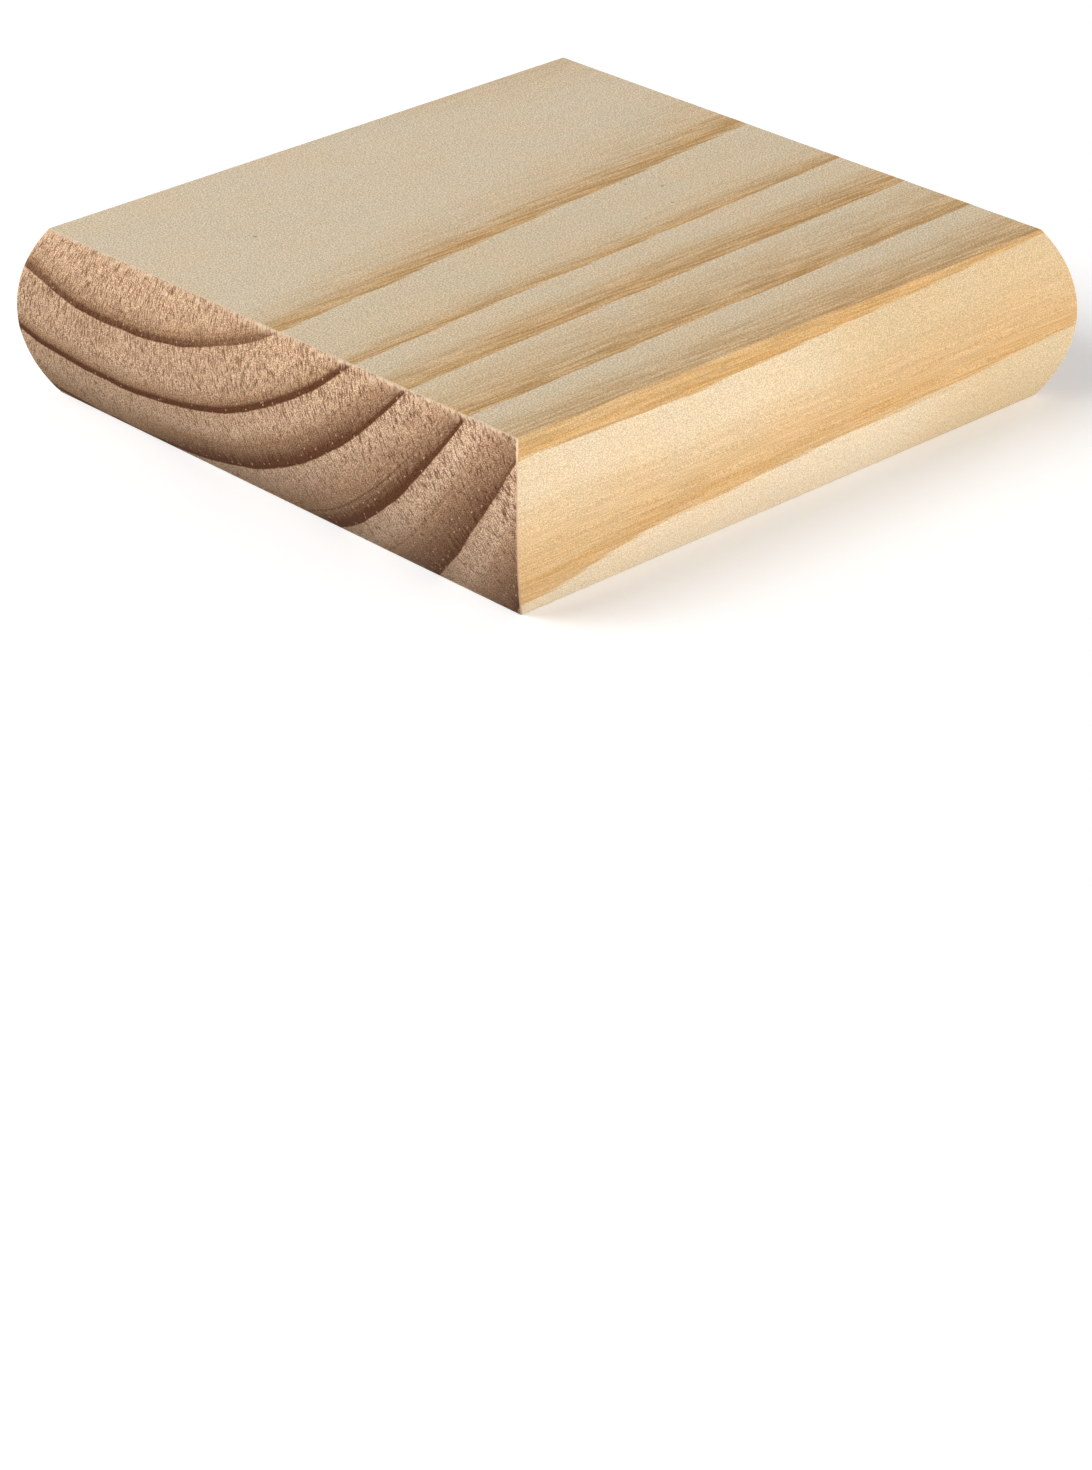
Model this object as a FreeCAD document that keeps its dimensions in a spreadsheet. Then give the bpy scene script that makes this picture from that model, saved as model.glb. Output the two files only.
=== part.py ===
import FreeCAD, Part
import Sketcher

import os

# Flat newel cap in solid pine: a square block with a flat top, a flat underside and one shallow
# convex moulding run round all four edges. The mouldings meet in mitred arrises at the corners.
# Frame: millimetres, origin at the centre of the underside, +Z up, wood grain along X.

doc = FreeCAD.newDocument("newel_cap_model")

# Driving dimensions

sheet = doc.addObject("Spreadsheet::Sheet", "dimensions")
DIMENSIONS = [
    ("cap_width", "110", "side of the square, measured over the swell of the moulding"),
    ("cap_thickness", "26", "underside to top"),
    ("edge_swell", "4", "how far the moulding stands out beyond the flats"),
    ("arris_radius", "0.35", "sanded easing on every edge"),
]
for row, (alias, value, meaning) in enumerate(DIMENSIONS, start=1):
    sheet.set(f"A{row}", meaning)
    sheet.set(f"B{row}", value)
    sheet.setAlias(f"B{row}", alias)
doc.recompute()

# Sizes that follow from the driving ones, as expressions for the sketches

FLAT_WIDTH = "dimensions.cap_width - 2 * dimensions.edge_swell"
BLANK_LENGTH = "dimensions.cap_width + 2 * dimensions.edge_swell"
SWELL_RADIUS = (
    "((dimensions.cap_thickness / 2) ^ 2 + dimensions.edge_swell ^ 2)"
    " / (2 * dimensions.edge_swell)"
)

# The same sizes as starting positions for the sketch geometry

thickness = sheet.get("cap_thickness")
widest = sheet.get("cap_width") / 2
flat = widest - sheet.get("edge_swell")
blank_end = widest + sheet.get("edge_swell")

# How a sketch numbers the two ends of an element, its own axes and its origin

START, END = range(1, 3)
HORIZONTAL_AXIS, VERTICAL_AXIS = range(-1, -3, -1)
ORIGIN = (HORIZONTAL_AXIS, START)


def point(across, up):
    return FreeCAD.Vector(across, up, 0)


def line(first, second):
    return Part.LineSegment(point(*first), point(*second))


def swell_arc(side, first, last):
    """Moulding arc on one side, counter-clockwise from one height to the other."""
    begin = point(side * flat, first)
    middle = point(side * widest, thickness / 2)
    finish = point(side * flat, last)
    return Part.Arc(begin, middle, finish)


def origin_plane(body, role):
    for feature in body.Origin.OriginFeatures:
        if feature.Role == role:
            return feature
    raise RuntimeError(f"no origin plane {role}")


def plane_sketch(body, name, role):
    sketch = body.newObject("Sketcher::SketchObject", name)
    sketch.AttachmentSupport = [(origin_plane(body, role), "")]
    sketch.MapMode = "FlatFace"
    return sketch


def constrain(sketch, *terms):
    return sketch.addConstraint(Sketcher.Constraint(*terms))


def drive(sketch, name, expression, *terms):
    """Add a dimension to the sketch and bind it to an expression on the sheet."""
    index = constrain(sketch, *terms)
    sketch.renameConstraint(index, name)
    sketch.setExpression(f"Constraints.{name}", expression)


def close_loop(sketch, count):
    """Join each element's end to the next one's start."""
    for index in range(count):
        constrain(sketch, "Coincident", index, END, (index + 1) % count, START)


# Section of the moulded strip, across the grain

body = doc.addObject("PartDesign::Body", "newel_cap")
body.Label = "newel_cap"
doc.recompute()

section = plane_sketch(body, "strip_section", "YZ_Plane")
section.addGeometry(line((-flat, 0), (flat, 0)))
section.addGeometry(swell_arc(1, 0, thickness))
section.addGeometry(line((flat, thickness), (-flat, thickness)))
section.addGeometry(swell_arc(-1, thickness, 0))
UNDERSIDE, RIGHT_SWELL, TOP, LEFT_SWELL = range(4)
close_loop(section, 4)
constrain(section, "Symmetric", UNDERSIDE, START, UNDERSIDE, END, VERTICAL_AXIS)
constrain(section, "Symmetric", TOP, START, TOP, END, VERTICAL_AXIS)
constrain(section, "PointOnObject", UNDERSIDE, START, HORIZONTAL_AXIS)
constrain(section, "Equal", UNDERSIDE, TOP)
constrain(section, "Equal", RIGHT_SWELL, LEFT_SWELL)
drive(section, "flat_width", FLAT_WIDTH, "DistanceX", UNDERSIDE, START, UNDERSIDE, END, 2 * flat)
drive(section, "depth", "dimensions.cap_thickness", "DistanceY", UNDERSIDE, END, TOP, START, thickness)
drive(section, "swell_radius", SWELL_RADIUS, "Radius", RIGHT_SWELL, section.Geometry[RIGHT_SWELL].Radius)

# Strip cut a little longer than the cap, with the moulding along its two long edges

strip = body.newObject("PartDesign::Pad", "moulded_strip")
strip.Profile = section
strip.SideType = "Symmetric"
strip.setExpression("Length", BLANK_LENGTH)
doc.recompute()

# The same moulding cut across the end grain

waste = plane_sketch(body, "end_waste", "XZ_Plane")
waste.addGeometry(line((flat, thickness), (blank_end, thickness)))
waste.addGeometry(line((blank_end, thickness), (blank_end, 0)))
waste.addGeometry(line((blank_end, 0), (flat, 0)))
waste.addGeometry(swell_arc(1, 0, thickness))
WASTE_TOP, SAWN_END, WASTE_BOTTOM, END_SWELL = range(4)
close_loop(waste, 4)
constrain(waste, "Horizontal", WASTE_TOP)
constrain(waste, "Vertical", SAWN_END)
constrain(waste, "Horizontal", WASTE_BOTTOM)
constrain(waste, "PointOnObject", WASTE_BOTTOM, END, HORIZONTAL_AXIS)
constrain(waste, "Vertical", END_SWELL, START, END_SWELL, END)
drive(waste, "half_flat", f"({FLAT_WIDTH}) / 2", "DistanceX", *ORIGIN, END_SWELL, START, flat)
drive(waste, "half_blank", f"({BLANK_LENGTH}) / 2", "DistanceX", *ORIGIN, SAWN_END, END, blank_end)
drive(waste, "depth", "dimensions.cap_thickness", "DistanceY", SAWN_END, END, SAWN_END, START, thickness)
drive(waste, "swell_radius", SWELL_RADIUS, "Radius", END_SWELL, waste.Geometry[END_SWELL].Radius)

end_mould = body.newObject("PartDesign::Pocket", "end_mould")
end_mould.Profile = waste
end_mould.SideType = "Symmetric"
end_mould.Type = "ThroughAll"
doc.recompute()
if end_mould.Shape.Volume >= strip.Shape.Volume:
    raise RuntimeError("the end moulding removed nothing")

other_end = body.newObject("PartDesign::Mirrored", "other_end_mould")
other_end.Originals = [end_mould]
other_end.MirrorPlane = (origin_plane(body, "YZ_Plane"), [""])
body.Tip = other_end
doc.recompute()

# Edges and arrises eased with abrasive paper

easing = body.newObject("PartDesign::Fillet", "eased_arrises")
easing.Base = (other_end, [""])
easing.UseAllEdges = True
easing.setExpression("Radius", "dimensions.arris_radius")
body.Tip = easing
doc.recompute()

# Check the model, then write it

for item in doc.Objects:
    if "Invalid" in item.State or "Error" in item.State:
        raise RuntimeError(f"{item.Name} failed: {item.State}")
if body.Shape.isNull() or not body.Shape.isValid():
    raise RuntimeError("newel_cap has no valid shape")

os.makedirs("parts", exist_ok=True)
body.Shape.exportStep(f"parts/{body.Label}.step")

box = body.Shape.optimalBoundingBox(True, False)
print(f"{body.Label}: {box.XLength:.2f} x {box.YLength:.2f} x {box.ZLength:.2f} mm,"
      f" {len(body.Shape.Faces)} faces, {body.Shape.Volume / 1000:.1f} cm3")
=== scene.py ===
# %% [markdown]
# A flat newel cap is a square of solid pine with a swelling moulding round its edge. It is one piece
# of wood, so what makes it look real is in two places: the crispness of its edges, and the way the
# growth rings of one tree pass through the block and come out differently on every face. The block could
# be drawn from its sizes alone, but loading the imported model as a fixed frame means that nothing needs
# fitting afterwards.

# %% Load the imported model
import math

import bmesh
import bpy
import numpy as np
from mathutils import Euler, Matrix, Vector, noise


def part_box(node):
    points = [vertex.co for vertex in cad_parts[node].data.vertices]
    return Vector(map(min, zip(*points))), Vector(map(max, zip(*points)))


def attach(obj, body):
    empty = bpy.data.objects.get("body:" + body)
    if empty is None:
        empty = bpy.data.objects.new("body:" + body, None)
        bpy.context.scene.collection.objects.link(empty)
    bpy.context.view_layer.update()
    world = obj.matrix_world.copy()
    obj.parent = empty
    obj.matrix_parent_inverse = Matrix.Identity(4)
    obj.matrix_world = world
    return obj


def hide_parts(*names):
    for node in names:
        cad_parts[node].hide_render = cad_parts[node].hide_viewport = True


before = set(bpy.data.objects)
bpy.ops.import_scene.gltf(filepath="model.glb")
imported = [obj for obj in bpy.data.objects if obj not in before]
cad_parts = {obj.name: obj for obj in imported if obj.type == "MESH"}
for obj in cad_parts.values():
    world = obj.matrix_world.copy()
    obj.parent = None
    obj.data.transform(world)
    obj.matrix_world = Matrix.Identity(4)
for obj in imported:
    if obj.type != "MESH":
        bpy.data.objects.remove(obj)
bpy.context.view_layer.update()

scene = bpy.context.scene
scene.view_settings.view_transform = "Standard"

# %% [markdown]
# The camera stands where the picture was taken from: close to the corner line of the cap, a little
# above it, with a long lens. It could be turned by eye until the cap looks right, but its place was
# worked out from the corners of the cap instead, because a long lens keeps the far edges almost as large
# as the near ones, and that matters more for the likeness than any later step. The lens is a touch wider
# than the picture's, so that both swelling edges stay inside the frame.

# %% Camera
MM = 0.001
CAMERA_PLACE = Vector((-402.2, -446.9, 270.3)) * MM
CAMERA_TURN = math.radians(-41.9)
CAMERA_DIP = math.radians(28.6)
CAMERA_ROLL = math.radians(-1.1)
CAMERA_LENS = 109.0

camera = bpy.data.objects.new("camera", bpy.data.cameras.new("camera"))
camera.data.lens = CAMERA_LENS
aim = Euler((math.pi / 2 - CAMERA_DIP, 0, CAMERA_TURN)).to_matrix()
aim = aim @ Matrix.Rotation(CAMERA_ROLL, 3, "Z")
camera.matrix_world = Matrix.Translation(CAMERA_PLACE) @ aim.to_4x4()
scene.collection.objects.link(camera)
scene.camera = camera
print(f"camera {CAMERA_PLACE.length / MM:.0f} mm from the cap, lens {CAMERA_LENS} mm")

# %% [markdown]
# The finish of the wood will be a tree of nodes. Such a tree can be wired by hand, or with a line of
# code for every node and every link. It is easier to read when the script can say "multiply this by
# that", so these helpers each add one node, plug in sockets or plain numbers, and hand back the socket
# that carries the result.

# %% Node helpers: sums


def feed(tree, socket, value):
    if isinstance(value, bpy.types.NodeSocket):
        tree.links.new(value, socket)
    else:
        socket.default_value = value


def maths(tree, operation, *values):
    node = tree.nodes.new("ShaderNodeMath")
    node.operation = operation
    for socket, value in zip(node.inputs, values):
        feed(tree, socket, value)
    return node.outputs[0]


def scaled(tree, vector, amount):
    node = tree.nodes.new("ShaderNodeVectorMath")
    node.operation = "SCALE"
    feed(tree, node.inputs["Vector"], vector)
    feed(tree, node.inputs["Scale"], amount)
    return node.outputs[0]


def distance(tree, vector, point):
    node = tree.nodes.new("ShaderNodeVectorMath")
    node.operation = "DISTANCE"
    feed(tree, node.inputs[0], vector)
    feed(tree, node.inputs[1], point)
    return node.outputs["Value"]


def split(tree, vector):
    node = tree.nodes.new("ShaderNodeSeparateXYZ")
    feed(tree, node.inputs[0], vector)
    return node.outputs


def join(tree, x, y, z):
    node = tree.nodes.new("ShaderNodeCombineXYZ")
    for socket, value in zip(node.inputs, (x, y, z)):
        feed(tree, socket, value)
    return node.outputs[0]


print("helpers for sums:", [helper.__name__ for helper in (feed, maths, scaled, distance, split, join)])

# %% [markdown]
# Three more helpers give the wood its variety: a cloud is a soft noise, a ramp turns one range of
# numbers into another, and a blend mixes two colours. A Color Ramp node could do the ramp's work, but
# Map Range takes its limits from plain numbers or from other nodes, and its smooth setting suits wood.

# %% Node helpers: patterns and colours


def cloud(tree, vector, scale=1.0, detail=2.0, roughness=0.5):
    node = tree.nodes.new("ShaderNodeTexNoise")
    feed(tree, node.inputs["Vector"], vector)
    node.inputs["Scale"].default_value = scale
    node.inputs["Detail"].default_value = detail
    node.inputs["Roughness"].default_value = roughness
    return node.outputs[0]


def ramp(tree, value, low, high, start=0.0, end=1.0, smooth=True):
    node = tree.nodes.new("ShaderNodeMapRange")
    node.interpolation_type = "SMOOTHSTEP" if smooth else "LINEAR"
    for socket, item in zip(node.inputs, (value, low, high, start, end)):
        feed(tree, socket, item)
    return node.outputs[0]


def blend(tree, factor, first, second, mode="MIX"):
    node = tree.nodes.new("ShaderNodeMix")
    node.data_type = "RGBA"
    node.blend_type = mode
    # A Mix node has one set of inputs for each data type, and these are the ones for colours
    factor_in, first_in, second_in = node.inputs[0], node.inputs[6], node.inputs[7]
    feed(tree, factor_in, factor)
    feed(tree, first_in, first)
    feed(tree, second_in, second)
    return node.outputs[2]


print("helpers for patterns:", [helper.__name__ for helper in (cloud, ramp, blend)])

# %% [markdown]
# A group is a small node tree with named sockets, which a material places like any single node. The
# sums for the growth of a tree could stand in the material itself, but they are long. In a group they
# are built once, have a name, and stay out of the way.

# %% Node helpers: groups
NUMBER = "NodeSocketFloat"
VECTOR = "NodeSocketVector"


def new_group(name, inputs, outputs):
    group = bpy.data.node_groups.new(name, "ShaderNodeTree")
    for label, kind in inputs.items():
        group.interface.new_socket(label, in_out="INPUT", socket_type=kind)
    for label, kind in outputs.items():
        group.interface.new_socket(label, in_out="OUTPUT", socket_type=kind)
    given = group.nodes.new("NodeGroupInput").outputs
    made = group.nodes.new("NodeGroupOutput").inputs
    return group, given, made


def place_group(tree, group, **values):
    node = tree.nodes.new("ShaderNodeGroup")
    node.node_tree = group
    for label, value in values.items():
        feed(tree, node.inputs[label], value)
    return node.outputs


print("helpers for groups:", [helper.__name__ for helper in (new_group, place_group)])

# %% [markdown]
# The cap lies on a plain white floor. A floor that simply glows would be whiter still, but it would
# swallow the shadow, and a real white one would throw a lot of light up under the moulding, which the
# picture doesn't show. So the floor is white only to the camera and to reflections, and rays that bounce
# off it to light the wood see a dark grey. Away from the cap it fades into a plain white glow, so that
# no horizon shows from the side.

# %% Floor
FLOOR_SPAN = 6.0
FLOOR_SEEN = (0.82, 0.82, 0.82, 1)
FLOOR_BOUNCE = (0.16, 0.155, 0.15, 1)
FLOOR_GLOW = 0.34
FLOOR_FADE = (0.35, 1.1)
WHITE = (1, 1, 1, 1)
BLACK = (0, 0, 0, 1)


def seen_directly(tree):
    """1 for rays from the camera, from gloss or through glass, 0 for rays that only carry light."""
    path = tree.nodes.new("ShaderNodeLightPath").outputs
    seen = maths(tree, "MAXIMUM", path["Is Camera Ray"], path["Is Glossy Ray"])
    return maths(tree, "MAXIMUM", seen, path["Is Transmission Ray"])


floor_finish = bpy.data.materials.new("studio_floor")
floor_finish.use_nodes = True
tree = floor_finish.node_tree
floor_shader = tree.nodes["Principled BSDF"]
floor_shader.inputs["Roughness"].default_value = 1.0
floor_shader.inputs["Specular IOR Level"].default_value = 0.0
floor_shader.inputs["Emission Color"].default_value = WHITE
floor_seen = seen_directly(tree)
floor_place = tree.nodes.new("ShaderNodeTexCoord").outputs["Object"]
fade = ramp(tree, distance(tree, floor_place, (0, 0, 0)), *FLOOR_FADE)
floor_colour = blend(tree, fade, FLOOR_SEEN, BLACK)
feed(tree, floor_shader.inputs["Base Color"], blend(tree, floor_seen, FLOOR_BOUNCE, floor_colour))
floor_glow = ramp(tree, fade, 0.0, 1.0, FLOOR_GLOW, 1.0, smooth=False)
feed(tree, floor_shader.inputs["Emission Strength"], maths(tree, "MULTIPLY", floor_seen, floor_glow))

floor_mesh = bpy.data.meshes.new("studio_floor")
reach = FLOOR_SPAN / 2
floor_corners = [(-reach, -reach, 0), (reach, -reach, 0), (reach, reach, 0), (-reach, reach, 0)]
floor_mesh.from_pydata(floor_corners, [], [(0, 1, 2, 3)])
floor_mesh.materials.append(floor_finish)
floor = bpy.data.objects.new("studio_floor", floor_mesh)
scene.collection.objects.link(floor)
print(f"floor {FLOOR_SPAN} m across")

# %% [markdown]
# Soft lamps shape the cap. An even sky alone would be simpler, but it would flatten the moulding, so the
# sky stays weak. The key lamp stands low at the right and lights the long-grain edge almost square on.
# The fill hangs higher at the left, so the end-grain edge is bright at its top and falls off towards the
# floor, which is what makes its curve readable. Two weak lamps do the same for the edges at the back.
# They stand well to the sides, because straight behind the cap they would put a grey sheen on its top.

# %% Sky and lamps
SKY_LIGHT = 0.17
WARM_LIGHT = (1.0, 0.96, 0.905)
COOL_LIGHT = (0.98, 0.99, 1.0)
BACK_LIGHT = (1.0, 0.98, 0.95)
BACK_SIZE = (0.7, 0.26)
BACK_POWER = 6.5

world = bpy.data.worlds.new("studio")
scene.world = world
world.use_nodes = True
tree = world.node_tree
sky = tree.nodes["Background"]
sky.inputs["Color"].default_value = WHITE
sky_strength = ramp(tree, seen_directly(tree), 0, 1, SKY_LIGHT, 1.0, smooth=False)
feed(tree, sky.inputs["Strength"], sky_strength)


def soft_lamp(name, place, size, power, colour):
    lamp = bpy.data.objects.new(name, bpy.data.lights.new(name, "AREA"))
    lamp.data.shape = "RECTANGLE"
    lamp.data.size, lamp.data.size_y = size
    lamp.data.energy = power
    lamp.data.color = colour
    lamp.location = place
    lamp.rotation_euler = (-Vector(place)).to_track_quat("-Z", "Y").to_euler()
    scene.collection.objects.link(lamp)


soft_lamp("key_lamp", place=(0.22, -1.18, 0.07), size=(0.8, 0.14), power=16.2, colour=WARM_LIGHT)
soft_lamp("fill_lamp", place=(-1.96, 0.82, 1.80), size=(1.8, 1.4), power=72.5, colour=COOL_LIGHT)
soft_lamp("far_end_lamp", place=(1.18, 0.12, 0.13), size=BACK_SIZE, power=BACK_POWER, colour=BACK_LIGHT)
soft_lamp("far_side_lamp", place=(0.02, 1.18, 0.13), size=BACK_SIZE, power=BACK_POWER, colour=BACK_LIGHT)

# %% [markdown]
# The real cap starts as a strip with the swell run along both long edges; the same cutter then goes
# across the two ends, and the four swells meet in mitred arrises. A bevel on a plain block would come
# close, but it rounds the corners where the real ones are mitred. A lofted stack of square outlines
# follows the cutter exactly: each outline is one height of the moulding, with its corners rounded by
# the sanding. The rows are close together, so the edges stay crisp and can carry real wear.

# %% Moulding profile
EDGE_SWELL = 4.0
ARRIS_RADIUS = 0.35
SWELL_ROWS = 80
CREASE_ROWS = 6

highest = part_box("newel_cap")[1]
half_width = highest[0] / MM
thickness = highest[2] / MM
arc_radius = ((thickness / 2) ** 2 + EDGE_SWELL ** 2) / (2 * EDGE_SWELL)
arc_centre = half_width - arc_radius
crease_rise = thickness / 2 - ARRIS_RADIUS
crease_centre = arc_centre + math.sqrt((arc_radius - ARRIS_RADIUS) ** 2 - crease_rise ** 2)
crease_angle = math.atan2(crease_rise, crease_centre - arc_centre)


def moulding_rows():
    """Half width, height and corner radius of every outline, from the underside to the top, in mm."""
    crease = [
        (crease_centre + ARRIS_RADIUS * math.cos(a), ARRIS_RADIUS * (1 - math.sin(a)))
        for a in np.linspace(math.pi / 2, crease_angle, CREASE_ROWS)
    ]
    swell = [
        (arc_centre + arc_radius * math.cos(a), thickness / 2 + arc_radius * math.sin(a))
        for a in np.linspace(-crease_angle, crease_angle, SWELL_ROWS)
    ]
    upper = [(width, thickness - height) for width, height in reversed(crease)]
    for width, height in crease[:-1] + swell + upper[1:]:
        rounding = min(ARRIS_RADIUS, (width - crease_centre) / math.cos(crease_angle))
        yield width, height, rounding


rows = list(moulding_rows())
print(f"{len(rows)} outlines, arc radius {arc_radius:.2f} mm, widest {max(r[0] for r in rows):.2f} mm")

# %% [markdown]
# One outline is four straight sides and four small quarter circles. Where the flats begin, the quarter
# circle has no radius left and its points fall together, so merging doubles closes the corners neatly.
# The two flats could be single faces, but plain grids that share their border points with the first and
# last outline can carry wear too. Points lie closer together across the grain than along it, because
# that is where the rings change.

# %% Cap mesh
STEPS_ALONG = 64
STEPS_ACROSS = 230
CORNER_STEPS = 5
SAME_POINT = 0.001


def spread(reach, steps):
    return [reach * (2 * i / steps - 1) for i in range(steps + 1)]


def outline(width, height, rounding):
    """Points of one rounded square, counter-clockwise from the start of the -Y side."""
    reach = width - rounding
    points = []
    for quarter, steps in enumerate((STEPS_ALONG, STEPS_ACROSS) * 2):
        turn = Matrix.Rotation(quarter * math.pi / 2, 3, "Z")
        side = [Vector((place, -width, height)) for place in spread(reach, steps)]
        for i in range(1, CORNER_STEPS):
            angle = -math.pi / 2 * (1 - i / CORNER_STEPS)
            corner = Vector((math.cos(angle), math.sin(angle), 0)) * rounding
            side.append(corner + Vector((reach, -reach, height)))
        points += [turn @ point for point in side]
    return points


def flat_grid(mesh, width, height, upwards):
    along = spread(width, STEPS_ALONG)
    grid = [[mesh.verts.new((x, y, height)) for x in along] for y in spread(width, STEPS_ACROSS)]
    for near, far in zip(grid, grid[1:]):
        for i in range(STEPS_ALONG):
            corners = [near[i], near[i + 1], far[i + 1], far[i]]
            mesh.faces.new(corners if upwards else corners[::-1])


shell = bmesh.new()
loops = [[shell.verts.new(point) for point in outline(*row)] for row in rows]
for below, above in zip(loops, loops[1:]):
    for i in range(len(below)):
        j = (i + 1) % len(below)
        shell.faces.new((below[i], below[j], above[j], above[i]))
flat_grid(shell, rows[-1][0], rows[-1][1], True)
flat_grid(shell, rows[0][0], rows[0][1], False)
bmesh.ops.remove_doubles(shell, verts=shell.verts, dist=SAME_POINT)
for face in shell.faces:
    face.smooth = True
bmesh.ops.scale(shell, vec=(MM, MM, MM), verts=shell.verts)

cap_mesh = bpy.data.meshes.new("cap_block")
shell.to_mesh(cap_mesh)
shell.free()
cap = bpy.data.objects.new("cap_block", cap_mesh)
scene.collection.objects.link(cap)
print(f"cap mesh: {len(cap_mesh.vertices)} points, {len(cap_mesh.polygons)} faces")

# %% [markdown]
# A growth ring is a tube round the pith, and every face of the cap is a cut through the same tubes.
# Each face could have a drawn pattern of its own, but then no ring would meet itself at an edge. Working
# out the distance grown at every point costs a few sums, and all faces agree by themselves. The pith of
# this tree lies above the cap and leans a little along it. The tree grew faster on one side, so a ring's
# centre drifts away from the pith as the ring gets larger. At one end the rings splay, as they do where
# a trunk begins to widen, and the last ring leans the other way and tucks in at the corner.

# %% Distance grown from the pith
PITH_Y, PITH_Z = 26.8, 72.3
LEAN_Y, LEAN_Z = 0.0156, 0.0386
DRIFT_Y, DRIFT_Z = 0.129, -0.561
DRIFT_REST = 1 - DRIFT_Y ** 2 - DRIFT_Z ** 2
RING_SQUASH = 1.561
RAY_Y, RAY_Z = 32.0, 80.0
RAY_REACH = 80.0
SPLAY_END = (-54.0, -15.0)
SPLAY_RINGS = (80.0, 93.0)
INNER_SPLAY, OUTER_SPLAY = -0.5, 1.4
LAST_RING = (98.0, 103.0)
LAST_RING_TUCK = (-50.0, -24.0)
LAST_RING_LEAN = (-10.0, 30.0)
LAST_RING_CORNER, LAST_RING_NEAR, LAST_RING_FAR = -1.2, 0.55, -0.2

growth_group, given, made = new_group(
    "tree growth",
    {"Position": VECTOR},
    {"Grown": NUMBER, "Round": NUMBER, "Along": NUMBER},
)
tree = growth_group
along, y, z = split(tree, given["Position"])


def from_centre(axis, start, lean):
    return maths(tree, "SUBTRACT", axis, maths(tree, "MULTIPLY_ADD", along, lean, start))


across = from_centre(y, PITH_Y, LEAN_Y)
below = maths(tree, "MULTIPLY", from_centre(z, PITH_Z, LEAN_Z), RING_SQUASH)
drift = maths(tree, "MULTIPLY_ADD", below, DRIFT_Z, maths(tree, "MULTIPLY", across, DRIFT_Y))
square = maths(tree, "MULTIPLY_ADD", across, across, maths(tree, "MULTIPLY", below, below))
reach = maths(tree, "MULTIPLY_ADD", drift, drift, maths(tree, "MULTIPLY", square, DRIFT_REST))
past_drift = maths(tree, "SUBTRACT", maths(tree, "SQRT", reach), drift)
grown = maths(tree, "DIVIDE", past_drift, DRIFT_REST)
splay = ramp(tree, grown, *SPLAY_RINGS, INNER_SPLAY, OUTER_SPLAY)
last_ring = ramp(tree, grown, *LAST_RING)
tuck = ramp(tree, along, *LAST_RING_TUCK, LAST_RING_CORNER, LAST_RING_NEAR)
lean = ramp(tree, along, *LAST_RING_LEAN, 0.0, LAST_RING_FAR - LAST_RING_NEAR)
grown = maths(tree, "MULTIPLY_ADD", ramp(tree, along, *SPLAY_END, 1.0, 0.0), splay, grown)
grown = maths(tree, "MULTIPLY_ADD", last_ring, maths(tree, "ADD", tuck, lean), grown)
ray_below = maths(tree, "MULTIPLY", from_centre(z, RAY_Z, LEAN_Z), -1)
turn = maths(tree, "ARCTAN2", from_centre(y, RAY_Y, LEAN_Y), ray_below)
feed(tree, made["Grown"], grown)
feed(tree, made["Round"], maths(tree, "MULTIPLY", turn, RAY_REACH))
feed(tree, made["Along"], along)
print("growth group:", growth_group.name, len(growth_group.nodes), "nodes")

# %% [markdown]
# Each year's growth starts pale and open in spring and ends dark and dense in summer, where it stops
# dead. So a band has a soft inner side and a sharp outer side. A wave texture makes bands too, but all
# alike and evenly spaced. The six years in this block differ, so each gets its own eight numbers: where
# the dark begins, thickens, is darkest and stops, how dark it is where it thickens and at its darkest,
# and how dark and how wide its last line is on end grain.

# %% Growth rings
# begins, thickens, darkest, stops, half dark, full dark, last line, width of the last line
YEARS = [
    (47.8, 50.5, 51.5, 52.3, 0.32, 0.92, 0.74, 1.3),
    (57.2, 59.2, 61.2, 61.6, 0.20, 0.86, 1.00, 1.9),
    (64.4, 66.4, 69.8, 70.3, 0.44, 1.00, 1.00, 1.5),
    (70.9, 77.6, 80.1, 80.8, 0.53, 1.00, 1.00, 1.5),
    (84.0, 86.8, 93.6, 94.0, 0.40, 0.88, 0.90, 1.3),
    (97.2, 98.9, 103.0, 103.7, 0.27, 0.77, 0.90, 1.3),
]
# Thin dark lines inside a band, left by a dry spell: place and depth
DRY_SPELLS = [(50.6, 0.22), (77.6, 0.22), (66.6, 0.10), (86.6, 0.12), (98.8, 0.06)]
DRY_SPELL_WIDTH = 0.26
STOP_SOFTNESS = 0.13
STOP_LINE_CORE = 0.38
SPRING_FADE = 2.6

rings_group, given, made = new_group(
    "growth rings",
    {"Grown": NUMBER},
    {"Latewood": NUMBER, "Spring": NUMBER, "Stop line": NUMBER},
)
tree = rings_group
grown = given["Grown"]
latewood = 0.0
spring = 0.0
stop_line = 0.0
for begins, thickens, darkest, stops, half_dark, full_dark, last_line, line_width in YEARS:
    first = ramp(tree, grown, begins, thickens, 0.0, half_dark, smooth=False)
    second = ramp(tree, grown, thickens, darkest, 0.0, full_dark - half_dark, smooth=False)
    rise = maths(tree, "ADD", first, second)
    inside = ramp(tree, grown, stops - STOP_SOFTNESS, stops + STOP_SOFTNESS, 1.0, 0.0)
    latewood = maths(tree, "MULTIPLY_ADD", rise, inside, latewood)
    last = ramp(tree, grown, stops - line_width, stops - line_width * STOP_LINE_CORE, 0.0, last_line)
    stop_line = maths(tree, "MULTIPLY_ADD", last, inside, stop_line)
    fade = ramp(tree, grown, stops, stops + SPRING_FADE, 1.0, 0.0)
    outside = maths(tree, "SUBTRACT", 1.0, inside)
    spring = maths(tree, "MULTIPLY_ADD", fade, outside, spring)
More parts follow.
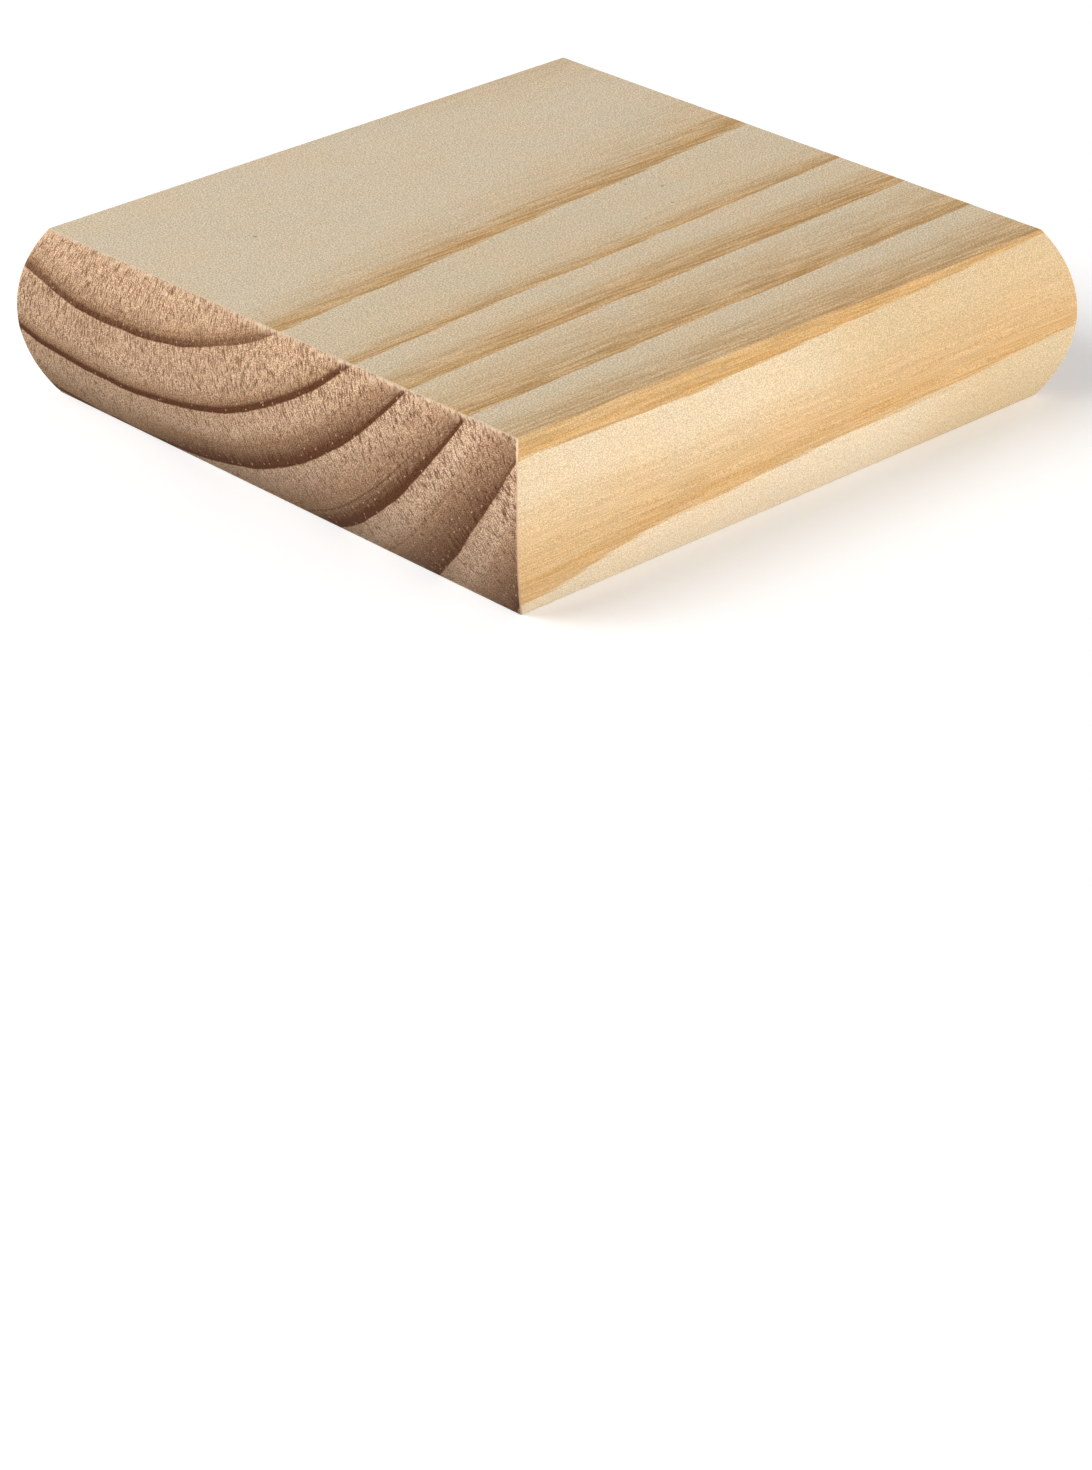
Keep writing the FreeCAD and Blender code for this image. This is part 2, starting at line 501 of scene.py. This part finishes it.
for place, depth in DRY_SPELLS:
    gap = maths(tree, "ABSOLUTE", maths(tree, "SUBTRACT", grown, place))
    latewood = maths(tree, "ADD", latewood, ramp(tree, gap, 0.0, DRY_SPELL_WIDTH, depth, 0.0))
feed(tree, made["Latewood"], maths(tree, "MINIMUM", latewood, 1.0))
feed(tree, made["Spring"], spring)
feed(tree, made["Stop line"], stop_line)
print(f"{len(YEARS)} growth rings cross the cap")

# %% [markdown]
# Sandpaper wears the soft spring wood a little lower than the hard summer wood, most of all on the end
# grain, so the rings can be felt as low ridges. A displacement node could lift them in the picture only,
# but real shape in the mesh stays with the cap wherever it is used. For that the script needs the rings
# as plain numbers, so these functions repeat the sums of the two groups.

# %% Raised grain: the rings in numbers
SHOULDER = 1.2


def smooth_step(value, low, high):
    share = np.clip((value - low) / (high - low), 0.0, 1.0)
    return share * share * (3 - 2 * share)


def grown_at(x, y, z):
    """Distance grown from the pith at points in millimetres, as in the growth group."""
    across = y - PITH_Y - LEAN_Y * x
    below = (z - PITH_Z - LEAN_Z * x) * RING_SQUASH
    drift = DRIFT_Y * across + DRIFT_Z * below
    grown = (np.sqrt(drift ** 2 + DRIFT_REST * (across ** 2 + below ** 2)) - drift) / DRIFT_REST
    splay = INNER_SPLAY + (OUTER_SPLAY - INNER_SPLAY) * smooth_step(grown, *SPLAY_RINGS)
    last_ring = smooth_step(grown, *LAST_RING)
    tuck = LAST_RING_CORNER + (LAST_RING_NEAR - LAST_RING_CORNER) * smooth_step(x, *LAST_RING_TUCK)
    lean = (LAST_RING_FAR - LAST_RING_NEAR) * smooth_step(x, *LAST_RING_LEAN)
    return grown + (1 - smooth_step(x, *SPLAY_END)) * splay + last_ring * (tuck + lean)


def latewood_at(grown):
    """How dark and hard the wood is, with a worn shoulder behind the stop of each year."""
    dark = np.zeros_like(grown)
    for begins, thickens, darkest, stops, half_dark, full_dark, *_ in YEARS:
        places = [begins, thickens, darkest, stops, stops + SHOULDER]
        dark += np.interp(grown, places, [0.0, half_dark, full_dark, full_dark, 0.0])
    return dark


print(f"the tree had grown {grown_at(0.0, 0.0, thickness):.1f} mm at the middle of the top")

# %% [markdown]
# Now the points of the mesh move inwards by a few hundredths of a millimetre where the wood is soft. The
# cutter also tears crumbs out of the creases of the end grain, and a noise places those. Both could be
# sculpted by hand, but sums keep each ridge on its ring in the material. The underside stays flat.

# %% Raised grain: wear
END_WEAR = 0.06
LONG_WEAR = 0.015
END_LIES = (0.45, 0.75)
CRUMB_DEPTH = 0.10
CRUMB_SIZE = 0.9
CREASE_END, CREASE_FLAT = 0.3, 0.5
UNDERSIDE_FADE = (0.0, 0.2)

points = np.empty(3 * len(cap_mesh.vertices))
outwards = np.empty(3 * len(cap_mesh.vertices))
cap_mesh.vertices.foreach_get("co", points)
cap_mesh.vertex_normals.foreach_get("vector", outwards)
points = points.reshape(-1, 3) / MM
outwards = outwards.reshape(-1, 3)
soft = 1 - latewood_at(grown_at(*points.T))
on_end = smooth_step(abs(outwards[:, 0]), *END_LIES)
wear = soft * (LONG_WEAR + (END_WEAR - LONG_WEAR) * on_end)
crease = np.flatnonzero((abs(outwards[:, 0]) > CREASE_END) & (abs(outwards[:, 2]) > CREASE_FLAT))
for i in crease:
    crumb = noise.noise(Vector(points[i]) / CRUMB_SIZE)
    wear[i] += CRUMB_DEPTH * max(0.0, crumb) * soft[i]
wear *= smooth_step(points[:, 2], *UNDERSIDE_FADE)
points -= outwards * wear[:, None]
cap_mesh.vertices.foreach_set("co", (points * MM).ravel())
cap_mesh.update()
print(f"wear: mean {wear.mean():.3f} mm, deepest {wear.max():.3f} mm, {len(crease)} crease points")

# %% [markdown]
# Pine fibres are long thin tubes, so anything they colour turns into streaks along the grain. Streaks
# could be painted one by one, but a noise that is squeezed across the grain and stretched along it makes
# them everywhere at once. It is a group because the material uses it more than once, for short hairs,
# for fibres and for long broad bands. Width is measured across the flats and depth down the sides.

# %% Fibre streaks
STREAK_DETAIL = 1.5

streak_group, given, made = new_group(
    "fibre streaks",
    {"Position": VECTOR, "Length": NUMBER, "Width": NUMBER, "Depth": NUMBER},
    {"Streak": NUMBER},
)
tree = streak_group
x, y, z = split(tree, given["Position"])
stretched = join(
    tree,
    maths(tree, "DIVIDE", x, given["Length"]),
    maths(tree, "DIVIDE", y, given["Width"]),
    maths(tree, "DIVIDE", z, given["Depth"]),
)
feed(tree, made["Streak"], cloud(tree, stretched, detail=STREAK_DETAIL))
print("streak group:", streak_group.name)

# %% [markdown]
# The cutter that crosses the ends tears the soft spring wood between the rays. That leaves short dark
# nicks that point at the pith, and a fine stipple of open fibre ends. The dense summer wood is cut
# cleaner: it shows a close comb of rays and now and then the pale dot of a resin canal. A picture of end
# grain could be wrapped over the edge, but its marks would not follow the rings. These are drawn in the
# tree's own coordinates, round and outwards, so they turn with them.

# %% End-grain marks
NICK_WIDTH, NICK_LENGTH = 0.24, 1.3
NICK_DETAIL, NICK_ROUGHNESS = 1.0, 0.6
COMB_WIDTH, COMB_LENGTH = 0.26, 4.0
STIPPLE_SCALE = 6.8
ONE_LAYER = 0.5
CANAL_SPACING = 1.9
CANAL_RADIUS = 0.15
CANAL_CORE, CANAL_RIM = 0.5, 1.4

marks_group, given, made = new_group(
    "end-grain marks",
    {"Position": VECTOR, "Grown": NUMBER, "Round": NUMBER},
    {"Nicks": NUMBER, "Comb": NUMBER, "Stipple": NUMBER, "Canals": NUMBER},
)
tree = marks_group
depth = split(tree, given["Position"])[0]


def tree_place(width, length):
    """A place in the tree's own coordinates, scaled so that one unit is one mark."""
    return join(
        tree,
        maths(tree, "DIVIDE", given["Round"], width),
        maths(tree, "DIVIDE", given["Grown"], length),
        depth,
    )


nick_place = tree_place(NICK_WIDTH, NICK_LENGTH)
feed(tree, made["Nicks"], cloud(tree, nick_place, detail=NICK_DETAIL, roughness=NICK_ROUGHNESS))
feed(tree, made["Comb"], cloud(tree, tree_place(COMB_WIDTH, COMB_LENGTH)))
feed(tree, made["Stipple"], cloud(tree, given["Position"], STIPPLE_SCALE, ONE_LAYER))
canals = tree.nodes.new("ShaderNodeTexVoronoi")
canals.voronoi_dimensions = "2D"
feed(tree, canals.inputs["Vector"], tree_place(1.0, 1.0))
canals.inputs["Scale"].default_value = 1 / CANAL_SPACING
canal_size = CANAL_RADIUS / CANAL_SPACING
canal_edge = (canal_size * CANAL_CORE, canal_size * CANAL_RIM)
feed(tree, made["Canals"], ramp(tree, canals.outputs["Distance"], *canal_edge, 1.0, 0.0))
print("marks group:", marks_group.name)

# %% [markdown]
# The finish is bare sanded pine, so one material covers the block. It could be laid on the faces as a
# flat pattern, but then the figure would break at every edge. So it works inside the block, in
# millimetres. From here on every cell adds nodes to this one tree, and a few more helpers keep its sums
# short.

# %% Bare pine: the material
BARE_SHEEN = 0.20

pine = bpy.data.materials.new("bare_pine")
pine.use_nodes = True
tree = pine.node_tree
shader = tree.nodes["Principled BSDF"]
shader.inputs["Specular IOR Level"].default_value = BARE_SHEEN


def total(*values):
    result = values[0]
    for value in values[1:]:
        result = maths(tree, "ADD", result, value)
    return result


def product(*values):
    result = values[0]
    for value in values[1:]:
        result = maths(tree, "MULTIPLY", result, value)
    return result


def without(value):
    return maths(tree, "SUBTRACT", 1.0, value)


def clipped(value):
    return ramp(tree, value, 0.0, 1.0, smooth=False)


def swing(value, amount):
    """A noise of 0 to 1 turned into a swing of plus or minus half the amount."""
    return maths(tree, "MULTIPLY_ADD", value, amount, -amount / 2)


def shade(colour, value, low, high, dark, light):
    """Multiply a colour by the first tint where the value is low and by the second where it is high."""
    return blend(tree, 1.0, colour, blend(tree, ramp(tree, value, low, high), dark, light), "MULTIPLY")


print("material:", pine.name)

# %% [markdown]
# The material first reads how far the tree had grown at each point, and which way the surface faces. A
# ring drawn from that alone would have edges like a ruled line. Real band edges follow the fibres, so
# the distance is shaken a little with hairs, fibres and bands. End grain is cut across the fibres and
# shakes less.

# %% Bare pine: where in the tree
HAIRS = {"Length": 9.0, "Width": 0.50, "Depth": 0.22}
FIBRES = {"Length": 26.0, "Width": 0.9, "Depth": 0.55}
BANDS = {"Length": 70.0, "Width": 9.0, "Depth": 9.0}
HAIR_SHAKE, FIBRE_SHAKE, BAND_SHAKE = 0.4, 0.5, 0.9
END_SHAKE = 0.35
END_TURN = (0.4, 0.8)

coords = tree.nodes.new("ShaderNodeTexCoord").outputs
position = scaled(tree, coords["Object"], 1 / MM)
facing = split(tree, coords["Normal"])
end_facing = maths(tree, "ABSOLUTE", facing["X"])
side_facing = maths(tree, "ABSOLUTE", facing["Y"])
up_facing = facing["Z"]


def streaks(sizes):
    return place_group(tree, streak_group, Position=position, **sizes)["Streak"]


growth = place_group(tree, growth_group, Position=position)
grown = growth["Grown"]
hairs = streaks(HAIRS)
fibres = streaks(FIBRES)
bands = streaks(BANDS)
shake = ramp(tree, end_facing, *END_TURN, 1.0, END_SHAKE)
wander = product(total(swing(hairs, HAIR_SHAKE), swing(fibres, FIBRE_SHAKE)), shake)
wander = total(wander, swing(bands, BAND_SHAKE))
rings = place_group(tree, rings_group, Grown=total(grown, wander))
late = rings["Latewood"]
marks = place_group(tree, marks_group, Position=position, Grown=grown, Round=growth["Round"])
nicks = marks["Nicks"]
print("groups placed:", [node.node_tree.name for node in tree.nodes if node.type == "GROUP"])

# %% [markdown]
# On long grain the spring wood is cream and the summer wood a warm tan. On the top the tan is painted a
# shade paler, a painted sheen of the light from above. The wood nearest the pith and the outermost wood
# are paler in colour. Two flat colours could stand for the two woods, but they would look printed. In
# real pine the tan breaks up into streaks, because a fibre is either cut open or not, so thin layers and
# fibres of noise weaken it here and there.

# %% Bare pine: spring wood and summer wood
INNER_WOOD = (0.745, 0.620, 0.450, 1)
EARLYWOOD = (0.735, 0.597, 0.414, 1)
SPRING_WOOD = (0.740, 0.607, 0.430, 1)
OUTER_WOOD = (0.755, 0.635, 0.470, 1)
LATEWOOD = (0.590, 0.362, 0.147, 1)
TOP_LATEWOOD_WITH_SHEEN = (0.605, 0.388, 0.182, 1)
INNER_RINGS = (48.0, 53.0)
OUTERMOST = (103.3, 104.1)
FLAT_TURN = (0.6, 0.9)
LAYER_LENGTH = 45.0
LAYER_SCALE, LAYER_ROUGHNESS = 2.0, 0.65
LATE_LAYERS, LATE_FIBRES, LATE_STRENGTH = 0.8, 0.4, 1.07

layer_place = join(tree, maths(tree, "DIVIDE", growth["Along"], LAYER_LENGTH), grown, 0.0)
layers = cloud(tree, layer_place, LAYER_SCALE, roughness=LAYER_ROUGHNESS)
broken = total(swing(layers, LATE_LAYERS), swing(fibres, LATE_FIBRES), LATE_STRENGTH)
long_late = clipped(product(late, broken))
long_colour = blend(tree, rings["Spring"], EARLYWOOD, SPRING_WOOD)
long_colour = blend(tree, ramp(tree, grown, *INNER_RINGS), INNER_WOOD, long_colour)
outermost = ramp(tree, grown, *OUTERMOST)
long_colour = blend(tree, outermost, long_colour, OUTER_WOOD)
on_flats = ramp(tree, maths(tree, "ABSOLUTE", up_facing), *FLAT_TURN)
# painted sheen: on the flats the summer wood gets a paler tan, which stands in for a sheen of light on
# the top
long_colour = blend(tree, long_late, long_colour, blend(tree, on_flats, LATEWOOD, TOP_LATEWOOD_WITH_SHEEN))
print("long grain: earlywood", EARLYWOOD[:3], "latewood", LATEWOOD[:3])

# %% [markdown]
# A wide band of bare pine is never one even colour. Slow patches of it are warmer or greyer, and towards
# the far end the spring wood of the last years is rich in resin, which makes it deeper and more golden.
# Both could be painted on the mesh, but a slow noise and two ramps in the tree's own coordinates let the
# tint follow the rings. In the outermost wood the resin begins further along.

# %% Bare pine: patches and resin
CLOUD_RANGE = (0.3, 0.7)
PATCH_SCALE = 0.09
WARM_PATCH = (1.015, 0.99, 0.96, 1)
GREY_PATCH = (0.985, 1.0, 1.015, 1)
RESIN_TINT = (0.87, 0.82, 0.715, 1)
RESIN_RINGS = (91.0, 95.0)
RESIN_ALONG = (-15.0, 25.0)
RESIN_DELAY = -20.0

patch = cloud(tree, position, PATCH_SCALE)
long_colour = shade(long_colour, patch, *CLOUD_RANGE, WARM_PATCH, GREY_PATCH)
resin_place = maths(tree, "MULTIPLY_ADD", outermost, RESIN_DELAY, growth["Along"])
resin = product(
    ramp(tree, grown, *RESIN_RINGS),
    ramp(tree, resin_place, *RESIN_ALONG),
    without(long_late),
)
long_colour = shade(long_colour, resin, 0.0, 1.0, WHITE, RESIN_TINT)
print("resin tint", RESIN_TINT[:3], "from", RESIN_RINGS[0], "mm outwards")

# %% [markdown]
# Sanding leaves a fine grit over everything. It is drawn out a little along the grain, and it is
# coarser on the flats than on the sides. Fibres that were cut open show as short hairs, mostly in the
# summer wood. A bump alone could make both, but soft light hardly shows a bump of that size, so they tint
# the colour. The grit has one layer of noise, because finer ones would be too small for any picture.

# %% Bare pine: grit and hairs
GRIT_STRETCH = 1.3
FINE_GRIT, COARSE_GRIT = 7.6, 5.2
FINE_SWING, COARSE_SWING = 0.75, 1.2
MIDDLE = 0.5
GRIT_DARK = (0.725, 0.71, 0.685, 1)
GRIT_LIGHT = (1.215, 1.205, 1.19, 1)
HAIR_DARK = (0.78, 0.71, 0.58, 1)
HAIR_LIGHT = (1.18, 1.20, 1.27, 1)
HAIR_FIBRES = 0.3
SIDE_HAIRS, FLAT_HAIRS, SPRING_HAIRS = 0.55, 1.0, 0.08

place_x, place_y, place_z = split(tree, position)
grit_place = join(tree, maths(tree, "DIVIDE", place_x, GRIT_STRETCH), place_y, place_z)
fine_grit = total(swing(cloud(tree, grit_place, FINE_GRIT, ONE_LAYER), FINE_SWING), MIDDLE)
coarse_grit = total(swing(cloud(tree, grit_place, COARSE_GRIT, ONE_LAYER), COARSE_SWING), MIDDLE)
grit = ramp(tree, on_flats, 0.0, 1.0, fine_grit, coarse_grit, smooth=False)
long_colour = shade(long_colour, grit, *CLOUD_RANGE, GRIT_DARK, GRIT_LIGHT)
hair_strength = ramp(tree, on_flats, 0.0, 1.0, SIDE_HAIRS, FLAT_HAIRS)
hair_share = maths(tree, "MULTIPLY_ADD", long_late, hair_strength, SPRING_HAIRS)
hair_height = total(hairs, swing(fibres, HAIR_FIBRES))
hair_tone = blend(tree, ramp(tree, hair_height, *CLOUD_RANGE), HAIR_DARK, HAIR_LIGHT)
long_colour = blend(tree, hair_share, long_colour, hair_tone, "MULTIPLY")
print(f"grit of about {1 / FINE_GRIT:.2f} mm on the sides and {1 / COARSE_GRIT:.2f} mm on the flats")

# %% [markdown]
# A few tiny pin specks lie on the sanded top, as on any bare pine. Each is a dark dot about half a
# millimetre across, at a place of its own. They could be scraps of mesh, but a speck in the wood has no
# height, so a change of colour round each point is enough.

# %% Bare pine: pin specks
# along the grain, across it, radius, in mm
SPECKS = [
    (24.0, 0.0, 0.30),
    (20.5, -5.8, 0.28),
    (13.5, -7.5, 0.24),
    (20.5, 4.2, 0.22),
    (-31.5, 27.2, 0.36),
    (-13.0, 25.5, 0.22),
]
SPECK_COLOUR = (0.30, 0.21, 0.14, 1)
SPECK_STRENGTH = 0.75
SPECK_CORE, SPECK_RIM = 0.5, 1.3

for speck_x, speck_y, radius in SPECKS:
    gap = distance(tree, position, (speck_x, speck_y, thickness))
    dot = ramp(tree, gap, radius * SPECK_CORE, radius * SPECK_RIM, SPECK_STRENGTH, 0.0)
    long_colour = blend(tree, dot, long_colour, SPECK_COLOUR)
print(f"{len(SPECKS)} specks on the top")

# %% [markdown]
# On end grain the summer wood is a dark band, combed into close stripes by the rays. On one side of this
# tree the bands thin out, and on the upper slope they are painted paler, a painted highlight where the
# light from above falls. One dark colour could stand for all of them, but then they would look inked, so
# the strength of a band is the product of these effects. Only the last line of each year keeps its full
# strength.

# %% Bare pine: summer wood on end grain
COMB_SWING, COMB_LAYERS, COMB_STRENGTH = 0.8, 0.4, 1.09
THIN_ROUND = (-18.0, 4.0)
THIN_FROM = (61.0, 64.0)
THIN_SHARE = 0.55
UPPER_SLOPE = (0.1, 0.5)
SLOPE_LATEWOOD = 0.75

combed = total(swing(marks["Comb"], COMB_SWING), swing(layers, COMB_LAYERS), COMB_STRENGTH)
thin_side = ramp(tree, growth["Round"], *THIN_ROUND, 0.0, THIN_SHARE)
thinning = product(thin_side, ramp(tree, grown, *THIN_FROM))
# painted highlight: the summer wood on the upper slope of the end grain is made paler, as light from
# above would show it
upper_slope_highlight = ramp(tree, up_facing, *UPPER_SLOPE, 1.0, SLOPE_LATEWOOD)
end_late = product(late, combed, without(thinning), upper_slope_highlight)
end_late = clipped(maths(tree, "MAXIMUM", end_late, rings["Stop line"]))
end_early = without(end_late)
print("end grain: bands thin out by", THIN_SHARE, "and on the upper slope by", 1 - SLOPE_LATEWOOD)

# %% [markdown]
# End grain swallows light in its open fibre ends, so both woods are darker and redder there. The outer
# years are a little rosier, the upper slope is painted a little lighter as a painted highlight from the
# light above, and resin canals dot the summer wood. A dark tint over the long grain would be simpler,
# but the two woods darken by different amounts, so end grain gets colours of its own.

# %% Bare pine: end-grain colours
END_EARLYWOOD = (0.588, 0.412, 0.281, 1)
END_LATEWOOD = (0.102, 0.041, 0.018, 1)
END_WARMTH = (1.0, 0.93, 0.84, 1)
WARM_BANDS = (0.0, 0.5)
OUTER_YEARS = (1.01, 1.03, 1.08, 1)
OUTER_RINGS = (56.0, 74.0)
UPPER_SLOPE_HIGHLIGHT = (1.06, 1.06, 1.05, 1)
CANAL_COLOUR = (0.52, 0.35, 0.24, 1)
CANAL_BANDS = (0.2, 0.5)
CANAL_STRENGTH = 0.8

end_colour = blend(tree, end_late, END_EARLYWOOD, END_LATEWOOD)
end_colour = shade(end_colour, end_late, *WARM_BANDS, WHITE, END_WARMTH)
end_colour = shade(end_colour, grown, *OUTER_RINGS, WHITE, OUTER_YEARS)
# painted highlight: the upper slope of the end grain is tinted lighter, as light from above would make it
end_colour = shade(end_colour, up_facing, *UPPER_SLOPE, WHITE, UPPER_SLOPE_HIGHLIGHT)
canal_dots = product(marks["Canals"], ramp(tree, late, *CANAL_BANDS, 0.0, CANAL_STRENGTH))
end_colour = blend(tree, canal_dots, end_colour, CANAL_COLOUR)
print("end grain: earlywood", END_EARLYWOOD[:3], "latewood", END_LATEWOOD[:3])

# %% [markdown]
# The cutter leaves the ends torn: nicks darken the spring wood, and stipple runs over both woods. Summer
# wood is cut cleaner, and some patches are worse than others. On the lower slope the nicks are painted
# fainter, a painted stand-in for the light from above, which shows them most near the top. Thousands of
# marks could be carved into the mesh, but they are smaller than its faces. So they tint the colour here,
# and the bump at the end makes them pits.

# %% Bare pine: torn fibres and painted raking light
NICK_DARK = (0.46, 0.35, 0.27, 1)
NICK_LIGHT = (1.28, 1.265, 1.24, 1)
NICK_RANGE = (0.32, 0.56)
STIPPLE_DARK = (0.47, 0.39, 0.32, 1)
STIPPLE_LIGHT = (1.45, 1.42, 1.39, 1)
STIPPLE_RANGE = (0.32, 0.68)
CLEANER_SUMMER = 0.14
RAKING_LIGHT_FADE = 0.06
RAKING_LIGHT_SLOPE = (-0.35, 0.35)
PATCH_TEAR = -0.12

# painted raking light: on the lower slope the nicks are drawn fainter, as light from above shows them
# most near the top
raking_light_fade_below = ramp(tree, up_facing, *RAKING_LIGHT_SLOPE, RAKING_LIGHT_FADE, 0.0)
clean_cut_and_raking_light = total(nicks, product(end_late, CLEANER_SUMMER), raking_light_fade_below, swing(patch, PATCH_TEAR))
end_colour = shade(end_colour, clean_cut_and_raking_light, *NICK_RANGE, NICK_DARK, NICK_LIGHT)
end_colour = shade(end_colour, marks["Stipple"], *STIPPLE_RANGE, STIPPLE_DARK, STIPPLE_LIGHT)
print(f"nicks {NICK_WIDTH} mm wide, stipple of about {1 / STIPPLE_SCALE:.2f} mm")

# %% [markdown]
# Which grain shows depends only on how the surface lies to the fibres. Two materials on two sets of faces
# would meet in a straight line. On the real cap the change is ragged, because the cutter leaves torn
# fibres hanging at the crease. Their light orange colour here is partly the fibres and partly a painted
# highlight where they catch the light. So one material blends its two grains by the way the surface
# faces, and the nicks and hairs break up the border.

# %% Bare pine: joining the two grains
FRINGE_AND_HIGHLIGHT_COLOUR = (0.82, 0.55, 0.36, 1)
FRINGE_SLOPE = (0.50, 0.565)
FRINGE_NICKS = (0.42, 0.62)
FRINGE_SHARE = 0.75
RAGGED_NICKS, RAGGED_HAIRS = 0.30, 0.10
GRAIN_CHANGE = (0.55, 0.84)

# torn fibres and painted highlight: a light orange fringe along the crease of the end grain, where fibres
# catch the light
fringe_and_highlight = product(
    ramp(tree, up_facing, *FRINGE_SLOPE),
    ramp(tree, nicks, *FRINGE_NICKS),
    FRINGE_SHARE,
)
end_colour = blend(tree, fringe_and_highlight, end_colour, FRINGE_AND_HIGHLIGHT_COLOUR)
ragged = total(end_facing, swing(nicks, RAGGED_NICKS), swing(hairs, RAGGED_HAIRS))
end_grain = ramp(tree, ragged, *GRAIN_CHANGE)
colour = blend(tree, end_grain, long_colour, end_colour)
print("grain changes where the end-facing share is", GRAIN_CHANGE)

# %% [markdown]
# Sanding rubs the edges first, and the eased edges catch the light. Where two mouldings meet, the thin
# arris shows a warm line, and the crease above the end grain shows a broken light one. Both lines are
# partly rubbed wood and partly painted highlight. Painted edges on the mesh could do this, but the way
# the surface faces finds them by itself, because only an edge faces two ways at once. End grain is also
# duller than long grain, and the grit breaks up the gloss of both.

# %% Bare pine: rubbed edges with painted highlights, and gloss
ARRIS_WEAR_AND_HIGHLIGHT = (0.74, 0.47, 0.33, 1)
ARRIS_TURN = (0.15, 0.5)
ARRIS_SHARE = 0.7
CREASE_WEAR_AND_HIGHLIGHT = (0.92, 0.70, 0.49, 1)
CREASE_SLOPE = (0.545, 0.60)
CREASE_TURN = (0.25, 0.45)
CREASE_NICKS = (0.30, 0.55)
CREASE_FAINT, CREASE_CLEAR = 0.2, 0.8
LONG_ROUGHNESS, END_ROUGHNESS = 0.72, 0.9
GRIT_ROUGHNESS = 0.15

# rubbed edge and painted highlight: a warm light line down the mitred arris
arris_wear_and_highlight = product(
    ramp(tree, end_facing, *ARRIS_TURN),
    ramp(tree, side_facing, *ARRIS_TURN),
    ARRIS_SHARE,
)
colour = blend(tree, arris_wear_and_highlight, colour, ARRIS_WEAR_AND_HIGHLIGHT)
# rubbed edge and painted highlight: a broken light line along the crease above the end grain
crease_wear_and_highlight = product(
    ramp(tree, up_facing, *CREASE_SLOPE),
    ramp(tree, end_facing, *CREASE_TURN),
    ramp(tree, nicks, *CREASE_NICKS, CREASE_FAINT, CREASE_CLEAR),
)
colour = blend(tree, crease_wear_and_highlight, colour, CREASE_WEAR_AND_HIGHLIGHT)
feed(tree, shader.inputs["Base Color"], colour)
roughness = ramp(tree, end_grain, 0, 1, LONG_ROUGHNESS, END_ROUGHNESS, smooth=False)
feed(tree, shader.inputs["Roughness"], total(roughness, swing(grit, GRIT_ROUGHNESS)))
print("roughness: long grain", LONG_ROUGHNESS, "end grain", END_ROUGHNESS)

# %% [markdown]
# Light catches what the fingers would feel: summer wood stands a hair proud of the spring wood, nicks
# and open fibre ends are pits, and the sanded faces keep a faint grit. More points in the mesh could
# carry these too, but for marks of a tenth of a millimetre and less a bump node is enough.

# %% Bare pine: what fingers feel
END_RELIEF = 0.10 * MM
STIPPLE_PITS = 0.7
SUMMER_RIDGE = 0.6
LONG_RELIEF = 0.12

end_height = total(
    product(nicks, end_early),
    product(marks["Stipple"], STIPPLE_PITS),
    product(late, SUMMER_RIDGE),
)
long_height = total(product(hairs, LONG_RELIEF), product(grit, LONG_RELIEF))
height = total(product(end_grain, end_height), product(without(end_grain), long_height))
bump = tree.nodes.new("ShaderNodeBump")
bump.inputs["Distance"].default_value = END_RELIEF
feed(tree, bump.inputs["Height"], height)
feed(tree, shader.inputs["Normal"], bump.outputs[0])
cap_mesh.materials.append(pine)
print("material:", pine.name, len(pine.node_tree.nodes), "nodes")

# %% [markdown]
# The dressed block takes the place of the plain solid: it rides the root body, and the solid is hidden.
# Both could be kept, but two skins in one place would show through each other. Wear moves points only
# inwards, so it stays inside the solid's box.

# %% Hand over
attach(cap, "root")
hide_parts("newel_cap")
